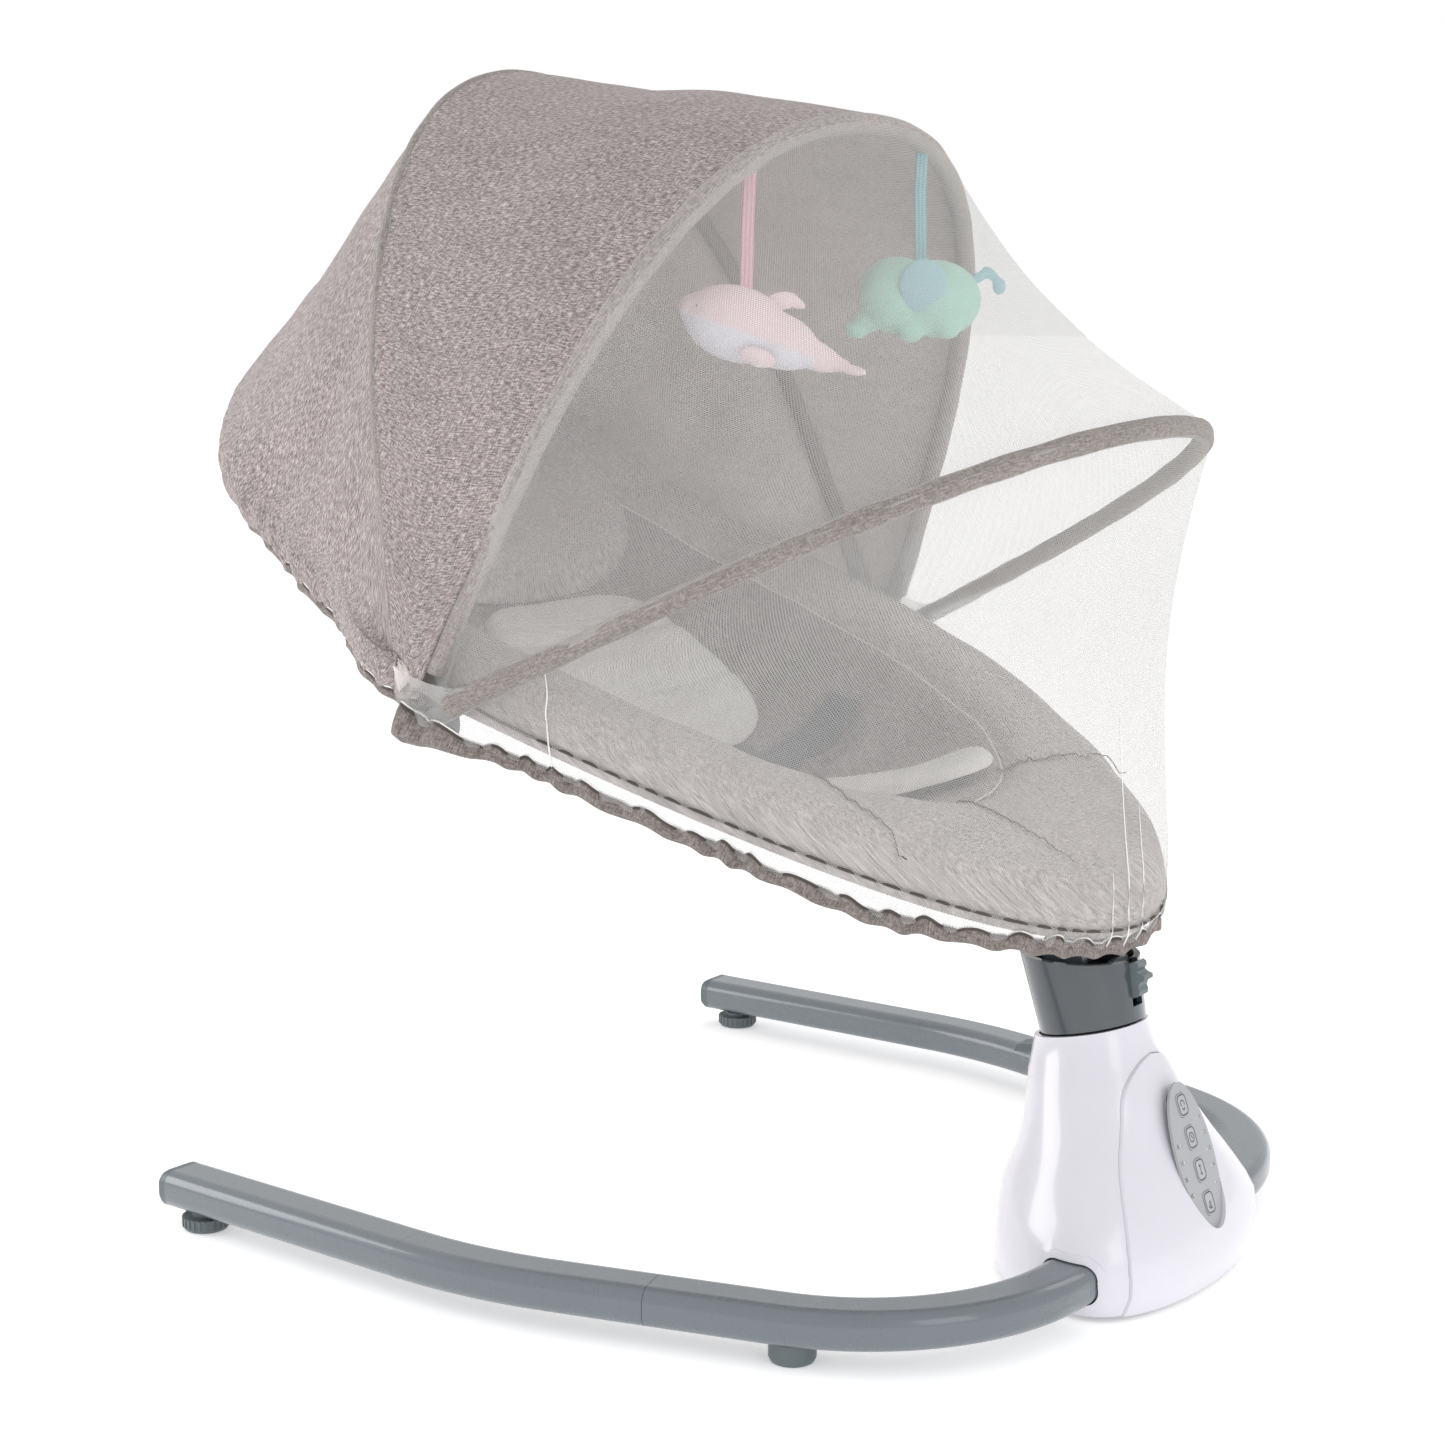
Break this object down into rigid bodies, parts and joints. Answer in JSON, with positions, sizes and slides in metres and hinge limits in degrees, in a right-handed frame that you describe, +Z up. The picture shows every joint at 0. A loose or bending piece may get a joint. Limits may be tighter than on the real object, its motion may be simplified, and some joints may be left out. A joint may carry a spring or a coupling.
{
  "type": "electric baby swing",
  "caption": "Floor-standing electric baby swing: U-shaped tube base, white drive housing with keypad, tilted swing column, reclining oval seat, fabric hood, insect net and hanging toys.",
  "frame": {"origin": "on the floor, under the middle of the whole object's box", "axes": "+X towards the foot end and the drive housing, -X towards the head end, +Y to the baby's left, +Z up"},
  "size_m": [0.6426, 0.5526, 0.6567],
  "materials": {
    "tube_paint": "gloss, slate grey",
    "dark_plastic": "fine satin",
    "slate_plastic": "gloss",
    "white_plastic": "high gloss, faint lavender shade",
    "panel_plastic": "satin",
    "key_plastic": "satin",
    "led_plastic": "translucent white",
    "board": "satin",
    "black_plastic": "satin",
    "foot_rubber": "matte",
    "steel": "satin",
    "chassis_plastic": "satin",
    "copper_coil": "enamelled wire",
    "seat_fabric": "warm grey melange weave",
    "hood_fabric": "warm grey melange weave",
    "binding": "woven tape",
    "light_fabric": "soft light grey jersey",
    "strap": "woven webbing",
    "net": "sheer white mesh",
    "hoop_plastic": "satin",
    "pink_plush": "short plush",
    "mint_plush": "short plush"
  },
  "bodies": {
    "base": {"base_tube_front": "tube_paint", "base_tube_rear_left": "tube_paint", "base_tube_rear_right": "tube_paint", "tube_end_caps": "dark_plastic", "front_feet": "dark_plastic", "housing_body": "white_plastic", "housing_front_cover": "white_plastic", "base_plate": "chassis_plastic", "base_screws": "steel", "base_pads": "foot_rubber", "rear_tab": "dark_plastic", "control_panel": "panel_plastic", "circuit_board": "board", "indicator_leds": "led_plastic", "speaker": "black_plastic", "power_jack": "black_plastic", "drive_coil": "copper_coil", "bearing_bracket": "chassis_plastic", "bearings": "steel"},
    "rear_foot_left": {"rear_foot_left": "dark_plastic"},
    "rear_foot_right": {"rear_foot_right": "dark_plastic"},
    "button_power": {"button_power": "key_plastic"},
    "button_timer": {"button_timer": "key_plastic"},
    "button_speed": {"button_speed": "key_plastic"},
    "button_music": {"button_music": "key_plastic"},
    "column": {"column_shell": "slate_plastic", "recline_pin": "steel", "swing_shaft": "steel", "drive_lever": "chassis_plastic", "drive_magnet": "steel"},
    "release_slider": {"release_slider": "dark_plastic"},
    "seat": {"seat_bracket": "chassis_plastic", "seat_ring": "steel", "seat_cover": "seat_fabric", "head_pillow": "seat_fabric", "body_insert": "light_fabric", "crotch_pad": "light_fabric", "waist_straps": "strap", "buckle": "dark_plastic", "hood_pivot_left": "dark_plastic", "hood_pivot_right": "dark_plastic", "hood_rear_hem": "binding"},
    "mid_hoop": {"mid_hoop": "hoop_plastic", "hood_rear_panel": "hood_fabric"},
    "front_hoop": {"front_hoop": "hoop_plastic", "hood_front_panel": "hood_fabric"},
    "net_hoop": {"net_hoop": "hoop_plastic", "net_upper": "net", "net_lower": "net", "net_hem": "binding"},
    "toy_dolphin": {"toy_dolphin": "pink_plush"},
    "toy_elephant": {"toy_elephant": "mint_plush"}
  },
  "joints": [
    {"name": "sway", "type": "hinge", "parent": "base", "child": "column", "pos_m": [0.2422, 0, 0.132], "axis": [-0.225, 0, 0.9744], "range_deg": [-10, 10]},
    {"name": "recline", "type": "hinge", "parent": "column", "child": "seat", "pos_m": [0.23208, 0, 0.17585], "axis": [0, 1, 0], "range_deg": [-12, 0]},
    {"name": "release", "type": "slide", "parent": "column", "child": "release_slider", "axis": [-0.225, 0, 0.9744], "range_m": [-0.0045, 0], "stiffness_N_per_m": 300},
    {"name": "foot_left_turn", "type": "hinge", "parent": "base", "child": "rear_foot_left", "pos_m": [-0.1842, 0.257, 0.008], "axis": [0, 0, 1], "continuous": true},
    {"name": "foot_right_turn", "type": "hinge", "parent": "base", "child": "rear_foot_right", "pos_m": [-0.1842, -0.257, 0.008], "axis": [0, 0, 1], "continuous": true},
    {"name": "button_power_press", "type": "slide", "parent": "base", "child": "button_power", "axis": [-0.9449, 0, -0.3272], "range_m": [0, 0.0009], "stiffness_N_per_m": 600},
    {"name": "button_timer_press", "type": "slide", "parent": "base", "child": "button_timer", "axis": [-0.9449, 0, -0.3272], "range_m": [0, 0.0009], "stiffness_N_per_m": 600},
    {"name": "button_speed_press", "type": "slide", "parent": "base", "child": "button_speed", "axis": [-0.9449, 0, -0.3272], "range_m": [0, 0.0009], "stiffness_N_per_m": 600},
    {"name": "button_music_press", "type": "slide", "parent": "base", "child": "button_music", "axis": [-0.9449, 0, -0.3272], "range_m": [0, 0.0009], "stiffness_N_per_m": 600},
    {"name": "mid_hoop_fold", "type": "hinge", "parent": "seat", "child": "mid_hoop", "pos_m": [-0.0434, 0, 0.298], "axis": [0, 1, 0], "range_deg": [-20, 0], "deforming": ["hood_rear_panel"]},
    {"name": "front_hoop_fold", "type": "hinge", "parent": "mid_hoop", "child": "front_hoop", "pos_m": [-0.0434, 0, 0.298], "axis": [0, 1, 0], "range_deg": [-24, 0], "deforming": ["hood_front_panel"]},
    {"name": "net_hoop_fold", "type": "hinge", "parent": "front_hoop", "child": "net_hoop", "pos_m": [-0.0434, 0, 0.298], "axis": [0, 1, 0], "range_deg": [-28, 0], "deforming": ["net_upper", "net_lower", "net_hem"]},
    {"name": "dolphin_swing", "type": "hinge", "parent": "front_hoop", "child": "toy_dolphin", "pos_m": [0.08158, -0.09811, 0.59244], "axis": [0, 1, 0], "range_deg": [-20, 20]},
    {"name": "elephant_swing", "type": "hinge", "parent": "front_hoop", "child": "toy_elephant", "pos_m": [0.08838, 0.05951, 0.60845], "axis": [0, 1, 0], "range_deg": [-20, 20]}
  ],
  "couplings": [
    {"joint": "front_hoop_fold", "follows": "mid_hoop_fold", "ratio": 1.2}
  ]
}
